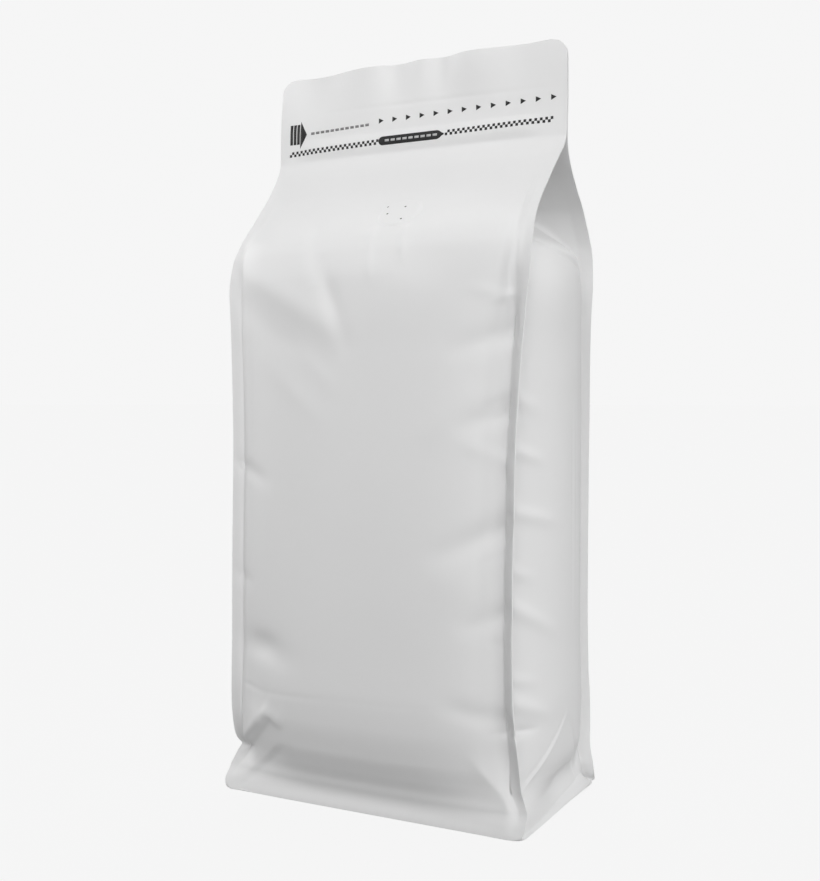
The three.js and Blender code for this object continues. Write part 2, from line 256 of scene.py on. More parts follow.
# %% Gusset surface
SOFT_STEPS = 7  # how many shifted copies the rounding averages
LEAST_WALL = 1e-6  # added to a wall's share, which divides, so that it is never nought


def gusset_path(t, z, front, back):
    """The folded strip with sharp corners: t from -1 (front root) to 1 (back root)."""
    tuck, mid = level("tuck", z), (front[..., 1] + back[..., 1]) / 2
    folded = np.clip(tuck / SLACK_TUCK, 0, 1)
    walls = WALL_SHARE * folded + LEAST_WALL
    across = np.clip(t / (1 - walls), -1, 1)
    half = (back[..., 1] - front[..., 1]) / 2 * (1 - SLACK * folded)
    root_x = front[..., 0] + (back[..., 0] - front[..., 0]) * (across + 1) / 2
    x = root_x - tuck + level("side", z) * (1 - np.abs(across) ** GUSSET_POWER)
    y = mid + half * across
    wall = np.clip((np.abs(t) - (1 - walls)) / walls, 0, 1)
    root = np.where((t < 0)[..., None], front, back)
    return np.stack([x + (root[..., 0] - x) * wall, y + (root[..., 1] - y) * wall], -1)


def gusset(q, z):
    """The right-hand gusset: between the welds' roots the mean of shifted copies of the folded
    strip, and past |q| = 1 the gusset's skin of the weld."""
    out = np.clip(np.abs(q) - 1, 0, 1)
    front = weld(out * (q < 0), z, FRONT, LAP, FOOT_SPLIT * out)
    back = weld(out * (q > 0), z, BACK, LAP, FOOT_SPLIT * out)
    t = np.clip(q, -1, 1)
    soft = FOLD_SOFT * ease(1, 1 - 2 * FOLD_SOFT, np.abs(t))
    soft = soft * np.clip(level("tuck", z) / SOFT_TUCK, 0, 1)
    shifts = np.linspace(-1, 1, SOFT_STEPS)
    xy = sum(gusset_path(t + shift * soft, z, front, back) for shift in shifts) / SOFT_STEPS
    return np.stack([xy[..., 0], xy[..., 1], z + 0 * q], -1)


# %% [markdown]
# ## Wrinkles
# Film has no stretch, so where the beans' shape asks for it, it folds. Four sorts of mark make all
# of it: a fold is a long soft ridge or valley between two points, a crease is one with a crisp line
# along its middle, a lip is the edge of a pillow that hangs over, and a dent is a round hollow or
# pillow. Each gives a distance along the panel's own outward direction, positive out. They are
# placed in millimetres on the panel, so they can be read off the real thing.

# %% Folds, creases, lips and dents
CREASE_ROUND = 0.45  # how far on each side of its line a crease is rounded
CREASE_IN, CREASE_OUT = 0.15, 0.5  # shares of a crease's length over which it comes and goes
LIP_END = 0.28  # share of a lip's length over which it comes, and over which it goes


def along_and_off(u, z, start, end):
    """Where a point is against a segment: the share of the way along, and how far to its right."""
    du, dz = end[0] - start[0], end[1] - start[1]
    length = np.hypot(du, dz)
    along = ((u - start[0]) * du + (z - start[1]) * dz) / length**2
    off = ((u - start[0]) * dz - (z - start[1]) * du) / length
    return along, off


def fold(u, z, start, end, wide, high):
    """A soft ridge along a segment: a bell curve of the distance from it, fading at both ends as
    one less the square of the way from its middle."""
    along, off = along_and_off(u, z, start, end)
    return high * np.clip(1 - (2 * along - 1) ** 2, 0, 1) * hump(off, 0, wide)


def crease(u, z, start, end, left, right, high):
    """A crisp ridge along a segment, seen from its start: it falls by e for every `left` mm to the
    left and `right` mm to the right, the very top rounded as the root of a sum of squares."""
    along, off = along_and_off(u, z, start, end)
    fade = ease(0, CREASE_IN, along) * ease(0, CREASE_OUT, 1 - along)
    away = (np.sqrt(off**2 + CREASE_ROUND**2) - CREASE_ROUND) / np.where(off > 0, right, left)
    return high * fade * np.exp(-away)


def lip(u, z, start, end, wide, reach, high):
    """A pillow that ends in a lip along a segment: seen from its start, a smooth step down to the
    right, `wide` mm across, and to the left a height that falls by e for every `reach` mm."""
    along, off = along_and_off(u, z, start, end)
    fade = ease(0, LIP_END, along) * ease(0, LIP_END, 1 - along)
    step = 1 - ease(-wide / 2, wide / 2, off)
    return high * fade * step * np.exp(-np.clip(-off, 0, None) / reach)


def dent(u, z, centre, reach, high):
    """A round pillow (or hollow, if high is negative): a bell curve each way."""
    return high * hump(u, centre[0], reach[0]) * hump(z, centre[1], reach[1])


def wrinkles(u, z, folds, creases, dents):
    """All the folds, creases and dents of a panel added up."""
    total = sum(fold(u, z, *one) for one in folds) + sum(crease(u, z, *one) for one in creases)
    return total + sum(dent(u, z, *one) for one in dents)


# %% [markdown]
# On the front, the wrinkles fall in four groups. A ridge with a valley on each side hangs from the
# left end of the shoulder. Two short tongues run down from the middle of the shoulder's edge.
# Valleys run in from the right-hand weld wherever it buckles. At the foot, a ridge climbs inwards
# from the right-hand corner, and over the left-hand one hangs a pillow, pinched into a hook. The
# faintest marks are lines pressed in while the pouch was still flat.
#
# A fold is given as start, end, width and height, in millimetres on the panel. A crease has two
# widths, left and right; a lip has the width of its step and the reach of its pillow; a dent has
# a middle, a reach each way and a height.

# %% Wrinkles of the front
FRONT_FOLDS = (
    ((-74, 233), (3, 191.5), 4.6, 1.2),  # the ridge under the left shoulder
    ((-22, 237), (-2, 186), 3.0, -1.5),  # the valley on its right, and a short one above
    ((-28, 248), (-19, 216), 2.4, -0.8),
    ((-72, 215), (-10, 180), 3.6, -0.4),  # the valley below the ridge
    ((-50, 190), (-10, 156), 3.0, 0.4),  # two fainter ridges below that
    ((-28, 192), (-6, 170), 2.4, 0.3),
    ((-76, 146), (-40, 134), 2.4, -0.7),  # two valleys from the left-hand weld
    ((-72, 97), (-50, 91), 2.0, -0.5),
    ((88, 206), (38, 186), 3.2, -1.1),  # valleys from the right-hand weld, and ridges by them
    ((80, 204), (46, 213), 2.0, 0.5),
    ((88, 176), (42, 157), 3.0, -1.2),
    ((84, 132), (44, 154), 2.2, 0.6),
    ((96, 138), (32, 105), 3.4, -1.6),
    ((84, 96), (44, 79), 2.8, -1.1),
    ((92, 35), (36, 52), 3.0, -1.2),
    ((30, 150), (52, 176), 5.0, 0.5),  # faint pillows between them
    ((34, 95), (56, 100), 6.0, 0.5),
    ((63, 262), (61.5, 190), 1.8, -1.8),  # the groove beside that weld
)
FLAT_LINES = (  # faint lines that only the front has
    ((-62, 48.5), (-44, 46.3), 0.8, -0.16),  # pressed in by the folding of the empty pouch
    ((-50, 46.3), (-12, 47.6), 0.8, -0.14),
    ((-20, 47.5), (40, 49), 1.0, -0.08),
    ((-54, 299.3), (66, 297.7), 0.8, -0.16),  # the line of the tear strip
)
FRONT_CREASES = (
    ((2.5, 240), (7.5, 212), 1.7, 2.0, 0.9),  # tongues of the shoulder's lower edge
    ((16.5, 240), (21.5, 220), 1.6, 1.8, 0.8),
    ((66, 172), (50, 165), 1.0, 1.4, -0.3),  # small sharp lines near the right-hand weld
    ((66, 212), (52, 205), 1.2, 1.0, 0.3),
    ((66, 112), (50, 104), 1.0, 1.4, -0.3),
    ((66, 72), (52, 76), 1.0, 1.4, -0.3),
    ((70, 0), (46, 35), 4.2, 5.4, 2.0),  # the ridge of the foot's right corner
)
FRONT_LIPS = (
    ((-76, 6), (-38, 41), 6.0, 9.0, 3.4),  # the pillow that hangs over the foot's left corner
    ((-47, 38.5), (-34, 32), 7.0, 6.0, 1.2),  # and the hook at its end
    ((-32, 28), (-72.5, -4), 4.0, 8.0, -0.9),  # the edge from which the undercut starts
)
FRONT_DENTS = (
    ((-46, 66), (8.0, 3.8), -1.7),  # two hollows above the hook
    ((-36, 61), (7, 3.5), -0.5),
    ((-9, 199), (6, 6), 0.5),  # the end of the ridge
    ((56, 233), (14, 8), 3.2),  # the shoulder's edge is higher at its right and left ends
    ((-58, 232), (13, 8), 1.7),
    ((30, 222), (9, 5), -0.9),  # and lies back a little between them
    ((-8, 150), (40, 60), 0.3),  # a wide, low pillow over the middle
)
RELIEF_END = (61.0, 67.0)  # from where to where, out from the middle, the wrinkles die away
FIN_BOW = 0.4  # how far the right-hand weld is bowed between its root and its edge
BOW_FROM, BOW_TO = (10, 40), (200, 235)  # heights over which the bow comes, and over which it goes


def zip_rise(x, z):
    """The zip's ridge: a power of a parabola across it, dying away towards its ends."""
    across = np.clip(1 - ((z - ZIP) / ZIP_REACH) ** 2, 0, 1) ** ZIP_POWER
    zip_end = ZIP_SPAN * WIDTH / 2
    return ZIP_RISE * across * (1 - ease(zip_end - ZIP_FADE, zip_end, np.abs(x)))


def front_relief(point):
    """What the front's film does beyond its plain shape: the zip's ridge, the wrinkles, and the bow
    of the right-hand weld, a parabola from its root to its edge."""
    x, z = point[..., 0], point[..., 2]
    root = root_of(z)
    out = np.clip((x - root) / (level("tip", z) - root), 0, 1)
    bow = 4 * FIN_BOW * out * (1 - out) * ease(*BOW_FROM, z) * (1 - ease(*BOW_TO, z))
    folds = FRONT_FOLDS + FLAT_LINES
    marks = sum(lip(x, z, *one) for one in FRONT_LIPS)
    marks = marks + wrinkles(x, z, folds, FRONT_CREASES, FRONT_DENTS)
    return zip_rise(x, z) + bow + (1 - ease(*RELIEF_END, np.abs(x))) * marks


def back_relief(point):
    """The back is finished like the front, without the zip, the flat lines and the hook."""
    x, z = -point[..., 0], point[..., 2]
    marks = wrinkles(x, z, FRONT_FOLDS, FRONT_CREASES, FRONT_DENTS)
    return (1 - ease(*RELIEF_END, np.abs(x))) * marks


# %% [markdown]
# The gusset buckles where its weld does, so pillows stick out next to the front weld. Where it
# starts to fold in there is a crisp line right across, and at the foot two creases climb from the
# corners towards the middle: they were folded in when the pouch was made. The tables are the same
# as the front's, but a place is given as how far back it is and how high.

# %% Wrinkles of a gusset
GUSSET_FOLDS = (
    ((-30, 237), (2, 226.5), 0.6, -0.7),  # where the folding-in starts
    ((-14, 230), (40, 222), 0.6, -0.7),
    ((5, 190), (5, 60), 0.9, -0.2),  # lines of the flat pouch's folds
    ((10.5, 190), (10.5, 60), 0.9, -0.2),
    ((-58, 179), (-20, 164), 2.0, 0.7),  # pillows beside the front weld
    ((-60, 158), (-18, 144), 1.8, 0.9),
    ((-66, 133), (-8, 119), 2.0, 0.8),
    ((-56, 110), (-24, 98), 1.8, 0.7),
    ((-66, 104), (-8, 74), 2.2, 0.9),
    ((-56, 65), (-22, 57), 1.8, 0.6),
    ((-66, 62), (-12, 42), 2.2, 0.8),
    ((-52, -3), (3, 44.7), 0.6, 0.3),  # the crisp line of the foot's front crease
    ((-53, -1.7), (2, 46), 0.6, -0.3),
    ((32, 3), (1, 39), 1.1, -1.0),  # and the pinched lines of its back crease
    ((9, 36), (14, 12), 0.9, -0.6),
)
GUSSET_CREASES = (
    ((-46, 2.2), (5, 46.2), 6.0, 4.0, 0.45),  # the two creases of the foot
    ((42, 46), (20, 37), 3, 3, 0.4),
)
GUSSET_DENTS = (
    ((5, 11), (12, 4.5), -2.6),  # the hollow under the gusset's bulge
    ((-24, 210), (10, 9), 0.5),  # a pillow and a hollow below the folding-in
    ((-6, 192), (9, 7), -0.4),
)
GUSSET_END = (-5.0, -0.5)  # from where to where, past the depth of the roots, they die away


def gusset_relief(point):
    """The gusset's own wrinkles, which die away towards the welds."""
    y, z = point[..., 1], point[..., 2]
    root_depth = level("fore", z) - np.sin(np.radians(level("turn", z))) * seal_width(z, FRONT)
    marks = wrinkles(y, z, GUSSET_FOLDS, GUSSET_CREASES, GUSSET_DENTS)
    return (1 - ease(*GUSSET_END, np.abs(y) - root_depth)) * marks


# %% [markdown]
# The left-hand front weld is worked by the hook beside it. Its root is pushed out, so that it runs
# level into the front, and it is bent in sharply where the hook meets it. The right-hand one has
# its root in a deeper groove, and a small nick. Front and gusset are one in a weld, so the same
# rule moves both.

# %% The bent welds
ROOTS = {  # side: how far the film is pushed out, the reach, and how far inside the root
    -1: (2.3, 3.8, 0.0),
    1: (-3.0, 3.4, 1.0),
}
ROOTS_FROM, ROOTS_TO = (12, 34), (196, 226)  # heights over which that comes, and over which it goes
LEFT_IN, LEFT_REACH = 0.9, (50, 64)  # how far the left-hand weld is drawn in, and from where
FORWARD = (20, 34)  # how far forward a point has to be to move with the front's welds
BENDS = (  # side, height, reach below and above, inwards, backwards
    (-1, 18.5, 4.0, 3.2, 1.9, 3.4),
    (1, 39.5, 1.6, 2.4, 0.9, 1.3),
)
BEND_REACH = (54, 66)  # how far out a point has to be to move with a bend


def tent(z, centre, below, above):
    """A bell curve with a sharp top: e to the minus distance over a reach for each side."""
    away = np.sqrt((z - centre) ** 2 + CREASE_ROUND**2) - CREASE_ROUND
    return np.exp(-away / np.where(z > centre, above, below))


def bent(point):
    """Moves points of the front and the gussets near the front welds."""
    x, y, z = point[..., 0], point[..., 1], point[..., 2]
    at_front, root, push = ease(*FORWARD, -y), root_of(z), 0
    for side, (out, reach, inside) in ROOTS.items():
        push = push + out * hump(side * x, root - inside, reach)
    along_weld = at_front * ease(*ROOTS_FROM, z) * (1 - ease(*ROOTS_TO, z))
    drawn_in = LEFT_IN * ease(*LEFT_REACH, -x)
    moved = point + along_weld[..., None] * np.stack([drawn_in, -push, 0 * z], -1)
    for side, height, below, above, inwards, backwards in BENDS:
        near = tent(z, height, below, above) * ease(*BEND_REACH, side * x) * at_front
        moved = moved + near[..., None] * np.array([-side * inwards, backwards, 0])
    return moved


# %% [markdown]
# ## From surface to mesh
# The plain surface gives a point for every pair of parameters. To push it out along its own normal
# we need that normal, and the cross product of two small steps, one each way, gives it. The same
# function serves for a grid of points and for a single mark of print, so print always lies exactly
# on the film.

# %% Skins
STEP_ACROSS, STEP_UP = 0.02, 0.5  # the two small steps: in q, and in millimetres of height


def skin(surface, relief, q, z, lift=0.0):
    """Points of a surface moved along its normal by its relief and by lift, in millimetres."""
    across = surface(q + STEP_ACROSS, z) - surface(q - STEP_ACROSS, z)
    up = surface(q, z + STEP_UP) - surface(q, z - STEP_UP)
    normal = np.cross(across, up)
    normal /= np.linalg.norm(normal, axis=-1, keepdims=True)
    point = surface(q, z)
    return point + normal * (relief(point) + lift)[..., None]


def stops(*stretches):
    """Parameter values in stretches of equal steps: a first value, then (end, steps) pairs."""
    values = [np.array([stretches[0]], float)]
    for end, steps in stretches[1:]:
        values.append(np.linspace(values[-1][-1], end, steps + 1)[1:])
    return np.concatenate(values)


# %% [markdown]
# A grid becomes a mesh of quads. Its border edges are marked sharp, so that the thin cut edge of
# the film doesn't pull the shading of the skin round with it. Solidify then adds the film's
# thickness on the inner side.

# %% Grids to meshes
def quads(rows, columns, wrap=False):
    """Corner numbers of a grid's quads, row by row; `wrap` joins the last column to the first."""
    index = np.arange(rows * columns).reshape(rows, columns)
    if wrap:
        index = np.concatenate([index, index[:, :1]], 1)
    corners = [index[:-1, :-1], index[:-1, 1:], index[1:, 1:], index[1:, :-1]]
    return np.stack(corners, -1).reshape(-1, 4)


def mesh_piece(name, vertices, faces, material):
    """An object at the origin from vertices in millimetres and quads, smooth shaded."""
    mesh = bpy.data.meshes.new(name)
    mesh.from_pydata((vertices * MM).tolist(), [], faces.tolist())
    mesh.polygons.foreach_set("use_smooth", np.ones(len(mesh.polygons), bool))
    mesh.materials.append(material)
    piece = bpy.data.objects.new(name, mesh)
    bpy.context.scene.collection.objects.link(piece)
    return piece


def sharpen_border(piece):
    """Marks the edges that have only one face as sharp."""
    mesh = piece.data
    loops = np.zeros(len(mesh.loops), int)
    mesh.loops.foreach_get("edge_index", loops)
    lone = np.bincount(loops, minlength=len(mesh.edges)) == 1
    sharp = mesh.attributes.new("sharp_edge", "BOOLEAN", "EDGE")
    sharp.data.foreach_set("value", lone)


def thicken(piece, thickness):
    """Gives a skin its thickness, on the inner side."""
    wall = piece.modifiers.new("film", "SOLIDIFY")
    wall.thickness, wall.offset = thickness * MM, -1.0


def film_piece(name, points, material, wrap=False):
    """A film from a grid of points, riding on the pouch."""
    rows, columns = points.shape[:2]
    piece = mesh_piece(name, points.reshape(-1, 3), quads(rows, columns, wrap), material)
    sharpen_border(piece)
    thicken(piece, FILM)
    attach(piece, "root")
    print(f"{name}: {rows} x {columns} points")
    return piece


# %% [markdown]
# ## The film's finish
# The outer layer is matt polypropylene over foil: a cool white with a soft, wide sheen and a grain
# so fine that it only breaks up the highlights. Colour and roughness drift a little over a few
# centimetres, as the lamination does. All of it reads Object coordinates, so the pattern stays
# where it is whichever panel it is on.

# %% Matt film
FILM_WHITE, FILM_ROUGH, FILM_SHEEN = 0.80, 0.5, 0.35
DRIFT, DRIFT_DETAIL = 22, 3  # waves of the drift to a metre, and how many finer ones are added
GRAIN, GRAIN_DETAIL = 2600, 2
TINT, ROUGH_DRIFT = 0.015, 0.05  # how far brightness (a share) and roughness drift either way
GRAIN_STRENGTH, GRAIN_HIGH = 0.25, 0.00004  # of the bump, whose height is in metres


def film_material(name, white, roughness):
    """Matt laminated film: a principled shader with a drift of colour and roughness and a grain."""
    material = bpy.data.materials.new(name)
    material.use_nodes = True
    nodes, links = material.node_tree.nodes, material.node_tree.links
    shader = nodes["Principled BSDF"]
    place = nodes.new("ShaderNodeTexCoord")

    def noise(scale, detail):
        node = nodes.new("ShaderNodeTexNoise")
        node.inputs["Scale"].default_value = scale
        node.inputs["Detail"].default_value = detail
        links.new(place.outputs["Object"], node.inputs["Vector"])
        return node.outputs["Fac"]

    drift, grain = noise(DRIFT, DRIFT_DETAIL), noise(GRAIN, GRAIN_DETAIL)
    tint = nodes.new("ShaderNodeMix")
    tint.data_type = "RGBA"
    tint.inputs["A"].default_value = (*[white * (1 - TINT)] * 3, 1)
    tint.inputs["B"].default_value = (*[white * (1 + TINT)] * 3, 1)
    links.new(drift, tint.inputs["Factor"])
    links.new(tint.outputs["Result"], shader.inputs["Base Color"])
    rough = nodes.new("ShaderNodeMapRange")
    rough.inputs["To Min"].default_value = roughness - ROUGH_DRIFT
    rough.inputs["To Max"].default_value = roughness + ROUGH_DRIFT
    links.new(drift, rough.inputs["Value"])
    links.new(rough.outputs["Result"], shader.inputs["Roughness"])
    bump = nodes.new("ShaderNodeBump")
    bump.inputs["Strength"].default_value = GRAIN_STRENGTH
    bump.inputs["Distance"].default_value = GRAIN_HIGH
    links.new(grain, bump.inputs["Height"])
    links.new(bump.outputs["Normal"], shader.inputs["Normal"])
    shader.inputs["Specular IOR Level"].default_value = FILM_SHEEN
    return material


matt_film = film_material("matt_film", FILM_WHITE, FILM_ROUGH)

# %% [markdown]
# ## The front
# The front is closest to the eye, so it has the finest grid: about a millimetre between points,
# and closer still at the welds, where it turns in a short way.

# %% Front film
FOOT_TOP, SHOULDER = 60.0, 200.0  # heights between which a panel needs fewer rows


def mirrored(half):
    """A list of values from nought up, with its mirror image below nought."""
    return np.concatenate([-half[:0:-1], half])


def heights(*steps):
    """Heights of a panel's rows: so many equal steps up to each of its landmarks in turn."""
    landmarks = (FOOT_CUT[FRONT], FOOT_TOP, SHOULDER, CLOSURE, HEIGHT - MOUTH_CORNER, HEIGHT)
    return stops(0, *zip(landmarks, steps))


FRONT_Q = mirrored(stops(0, (0.86, 52), (1, 12), (2, 8)))
FRONT_Z = heights(8, 78, 98, 78, 58, 10)


def front_surface(q, z):
    """The front without wrinkles."""
    return panel(q, z, FRONT)


def on_grid(columns, rows):
    """Two arrays with the parameters of every point of a grid."""
    return np.meshgrid(columns, rows)


q, z = on_grid(FRONT_Q, FRONT_Z)
front_film = film_piece("front_film", bent(skin(front_surface, front_relief, q, z)), matt_film)
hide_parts("film_pouch")

# %% [markdown]
# ## The back
# The back is the same surface seen from behind. Its parameter runs the other way round, so that
# its faces point outwards too.

# %% Back film
BACK_Q = mirrored(stops(0, (0.86, 34), (1, 8), (2, 6)))
BACK_Z = heights(7, 56, 86, 56, 22, 10)


def back_surface(q, z):
    """The back without wrinkles, anticlockwise from above."""
    return panel(-q, z, BACK)


q, z = on_grid(BACK_Q, BACK_Z)
back_film = film_piece("back_film", skin(back_surface, back_relief, q, z), matt_film)
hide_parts("film_pouch")

# %% [markdown]
# ## The gussets
# One function makes both. The left-hand one is the right-hand one mirrored, which would turn its
# faces inwards, so its parameter runs backwards as well.

# %% Gusset films
GUSSET_Q = mirrored(stops(0, (0.9, 40), (1, 6), (2, 6)))
GUSSET_Z = heights(7, 70, 110, 84, 18, 10)


def gusset_film(name, side):
    """The gusset on one side: +1 right, -1 left."""
    def surface(q, z):
        point = gusset(side * q, z) * (side, 1, 1)
        point[..., 1] += lip_wave(point[..., 0], z)
        return point

    q, z = on_grid(GUSSET_Q, GUSSET_Z)
    piece = film_piece(name, bent(skin(surface, gusset_relief, q, z)), matt_film)
    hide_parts("film_pouch")


gusset_film("gusset_right", 1)
gusset_film("gusset_left", -1)

# %% [markdown]
# ## The base
# The base panel is welded inside the skirt and pressed flat by the beans. Its section, from the
# skirt's edge inwards, is a few points joined by straight lines; carried round the foot's outline
# and drawn in step by step towards the middle, it becomes the whole panel.

# %% Base film
BASE_SECTION = np.array([  # how far in from the skirt's edge, and how high
    (0.5, 0.1), (1.9, 1.5), (3.4, 3.2), (5.4, 6.0), (7.2, 6.6),
    (9.2, 4.4), (12, 1.6), (16.5, 0.4), (42.5, 0.3),
])
BASE_ROUND, BASE_STEPS = 40, 44  # points round the outline, and rows from it to the middle


def foot_outline(count):
    """The foot's outline, clockwise from above, so that the base faces down: straight sides between
    quarter circles."""
    turns = np.linspace(0, 90, count // 4)
    right_back = foot_arc(turns, BACK)
    left_back = (right_back * (-1, 1))[::-1]
    half = np.concatenate([right_back, left_back])
    return np.concatenate([half, -half])[::-1]


def base_surface():
    """The section's insets and heights, in equal steps along its list of points, round the foot's
    outline. The last inset is half the depth, where the two long sides meet."""
    outline = foot_outline(BASE_ROUND)
    step = np.linspace(0, len(BASE_SECTION) - 1, BASE_STEPS)
    inset, high = (np.interp(step, range(len(BASE_SECTION)), column) for column in BASE_SECTION.T)
    scale = np.stack([1 - inset / (WIDTH / 2), 1 - inset / (DEPTH / 2)], -1)
    xy = outline[None, :, :] * scale[:, None, :]
    return np.concatenate([xy, np.repeat(high[:, None, None], len(outline), 1)], -1)


def merge_doubles(piece):
    """Joins the vertices that lie on each other, which closes a pole or a seam."""
    work = bmesh.new()
    work.from_mesh(piece.data)
    bmesh.ops.remove_doubles(work, verts=work.verts, dist=SAME_POINT * MM)
    work.to_mesh(piece.data)
    work.free()


base_film = film_piece("base_film", base_surface(), matt_film, wrap=True)
merge_doubles(base_film)
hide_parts("film_pouch")

# %% [markdown]
# ## On the front
# Print and the valve lie on the front's film, wrinkles and all. One function takes a place in
# millimetres to the film: inside the roots q is the share of the way to a root, and outside it goes
# on across the weld.

# %% A place on the front
def on_front(x, z, lift=0.0):
    """A point of the front film at x and z, with its wrinkles, lifted off it."""
    root = root_of(z)
    past = np.clip(np.abs(x) - root, 0, None) / seal_width(z, FRONT)
    q = np.sign(x) * (np.clip(np.abs(x) / root, 0, 1) + past)
    return bent(skin(front_surface, front_relief, q, z, lift))


def disc_grid(count):
    """A square grid bent into a disc of radius one, so that it has no pole: each coordinate is
    multiplied by the root of one less half the square of the other."""
    u, v = np.meshgrid(np.linspace(-1, 1, count), np.linspace(-1, 1, count))
    return u * np.sqrt(1 - v**2 / 2), v * np.sqrt(1 - u**2 / 2)


# %% [markdown]
# ## The valve
# Roasted beans give off gas, so a one-way valve is welded behind the film of the shoulder. From
# outside it is a faint round rise with four pinholes. The patch of film over it is a disc that
# rises softly from its rim and dips under the film at its very edge.

# %% Valve
VALVE_X, VALVE_Z, VALVE_R, VALVE_RISE = 10.4, 245.2, 10.0, 0.6
VALVE_RIM = 1.8  # width of the rim's rise
VALVE_EDGE, VALVE_TUCK = 0.3, 0.08  # width of the edge that is let in, and how deep
VALVE_POINTS, PINHOLE_POINTS = 61, 7  # points across a disc
PINHOLES = ((2.8, 248.6), (5.1, 244.7), (13.3, 241.7), (11.6, 247.7))
PINHOLE_R, PINHOLE_LIFT = 0.42, 0.02


def valve_lean():
    """How much shorter than a length on the film its height is, at the valve."""
    x, half = np.full(2, VALVE_X), np.array([-0.5, 0.5]) * VALVE_R
    low, high = on_front(x, VALVE_Z + half)
    return (high - low)[2] / np.linalg.norm(high - low)


def valve_rise(r):
    """Height of the valve's patch over the film: an S over the rim, less a little at the edge."""
    soft = 1 - ease(VALVE_R - VALVE_RIM, VALVE_R, r)
    return VALVE_RISE * soft - VALVE_TUCK * ease(VALVE_R - VALVE_EDGE, VALVE_R, r)


def valve_patch(count):
    """The disc on the film."""
    u, v = disc_grid(count)
    r = VALVE_R * np.hypot(u, v)
    return on_front(VALVE_X + VALVE_R * u, VALVE_Z + VALVE_R * v * valve_lean(), valve_rise(r))


valve = film_piece("valve_patch", valve_patch(VALVE_POINTS), matt_film)
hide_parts("valve")

# %% [markdown]
# ## The print
# The zip band carries plain marks that show where to pull and where to press: an arrow at the
# left, a row of small triangles, a line of little squares and a long badge. Each mark is a patch
# of ink between two heights that change along x, so one function makes them all, and they are
# joined into a piece for each ink. Where words would stand there are only dashes.

# %% Inks, and the painted shade of the pinholes
INK_LIFT, INK_THICK = 0.06, 0.04  # how far ink's face is off the film, and how thick it is
OVER_INK = 0.12  # how far the pale ink's face is off the film, as it lies on the badge
ROWS, FINE_ROWS = 3, 8  # rows of points in a small mark, and in a tall one
# The pinholes' near-black is painted shade in place of the holes' dark insides; the inks are print.
PINHOLE_SHADE, INK_DARK, INK_GREY, INK_PALE = 0.02, 0.022, 0.22, 0.5
INK_ROUGH, PINHOLE_ROUGH = 0.55, 0.8

dark_ink = film_material("dark_ink", INK_DARK, INK_ROUGH)
grey_ink = film_material("grey_ink", INK_GREY, INK_ROUGH)
pale_ink = film_material("pale_ink", INK_PALE, INK_ROUGH)


def mark(x, low, high, rows=ROWS, lift=INK_LIFT):
    """A patch of ink: at each x, so many points from low to high."""
    x, low, high = (np.asarray(values, float) for values in (x, low, high))
    share = np.linspace(0, 1, rows)[:, None]
    return on_front(np.repeat(x[None], rows, 0), low * (1 - share) + high * share, lift)


def block(left, wide, low, high, rows=ROWS, lift=INK_LIFT):
    """A mark with four straight sides."""
    return mark([left, left + wide], [low] * 2, [high] * 2, rows, lift)


def ink_and_shade_piece(name, patches, material):
    """Many patches joined into one piece."""
    starts = np.cumsum([0] + [patch.shape[0] * patch.shape[1] for patch in patches])
    faces = [quads(*patch.shape[:2]) + start for patch, start in zip(patches, starts)]
    points = np.concatenate([patch.reshape(-1, 3) for patch in patches])
    piece = mesh_piece(name, points, np.concatenate(faces), material)
    thicken(piece, INK_THICK)
    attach(piece, "root")
    print(f"{name}: {len(patches)} patches")


# %% Marks
BARS, BAR_WIDE = (-64.8, -62.95, -61.1), 1.45  # left edges of the arrow's bars, and their width
BAR_LOW, BAR_HIGH = 286.3, 295.4
HEAD_X = (-59.3, -58.2, -57.1, -55.9)  # the arrow's head, from its base to its point
HEAD_LOW, HEAD_HIGH = (284.3, 286.2, 288.2, 290.3), (296.7, 294.8, 292.8, 290.7)
TRIANGLES, TRIANGLE_X, TRIANGLE_Z = 13, (-18.1, 63.0), (292.5, 293.5)  # how many, from and to
TRIANGLE_LONG, TRIANGLE_HALF = 2.3, (1.15, 0.05)  # half its height at its base and at its point
SQUARES = (  # first and last left edge, first and last height, half of how many
    (-64.9, -18.8, 280.7, 281.9, 20),
    (15.0, 62.9, 282.5, 283.3, 21),
)
BADGE_X, BADGE_Z, BADGE_HALF = (-17.6, 14.5), 283.3, 1.95  # its ends, middle and half its height
BADGE_POINT, BADGE_TAPER = 3.2, 0.85  # length of its pointed end, and the share it narrows by
BADGE_LEAST = 0.01  # least of the circle's square, so that the round end has no sharp tip
DASH_SHARE = 0.7  # share of the way from dash to dash that is ink
BAND_DASHES = (-53.5, -25.0, 290.6, 0.03, 12, 0.55)  # as the arguments of `dashes`
BADGE_DASHES = (-14.4, 9.2, 283.3, 0.0, 9, 0.5, OVER_INK)


def arrow():
    """The pull arrow: a tail with pale grip stripes left between its bars, and a head."""
    bars = [block(left, BAR_WIDE, BAR_LOW, BAR_HIGH, FINE_ROWS) for left in BARS]
    return bars + [mark(HEAD_X, HEAD_LOW, HEAD_HIGH, FINE_ROWS)]


def triangles():
    """A row of small triangles, each a strip that runs out to a point."""
    left, middle = np.linspace(*TRIANGLE_X, TRIANGLES), np.linspace(*TRIANGLE_Z, TRIANGLES)
    half = np.array(TRIANGLE_HALF)
    return [mark([x, x + TRIANGLE_LONG], z - half, z + half) for x, z in zip(left, middle)]


def squares(first, last, low, high, count):
    """A line of small squares, low and high by turns, from one height to another."""
    left, floor = np.linspace(first, last, 2 * count), np.linspace(low, high, 2 * count)
    side = (last - first) / (2 * count - 1)
    rows = [low_edge + side * (i % 2) for i, low_edge in enumerate(floor)]
    return [block(x, side, z, z + side) for x, z in zip(left, rows)]


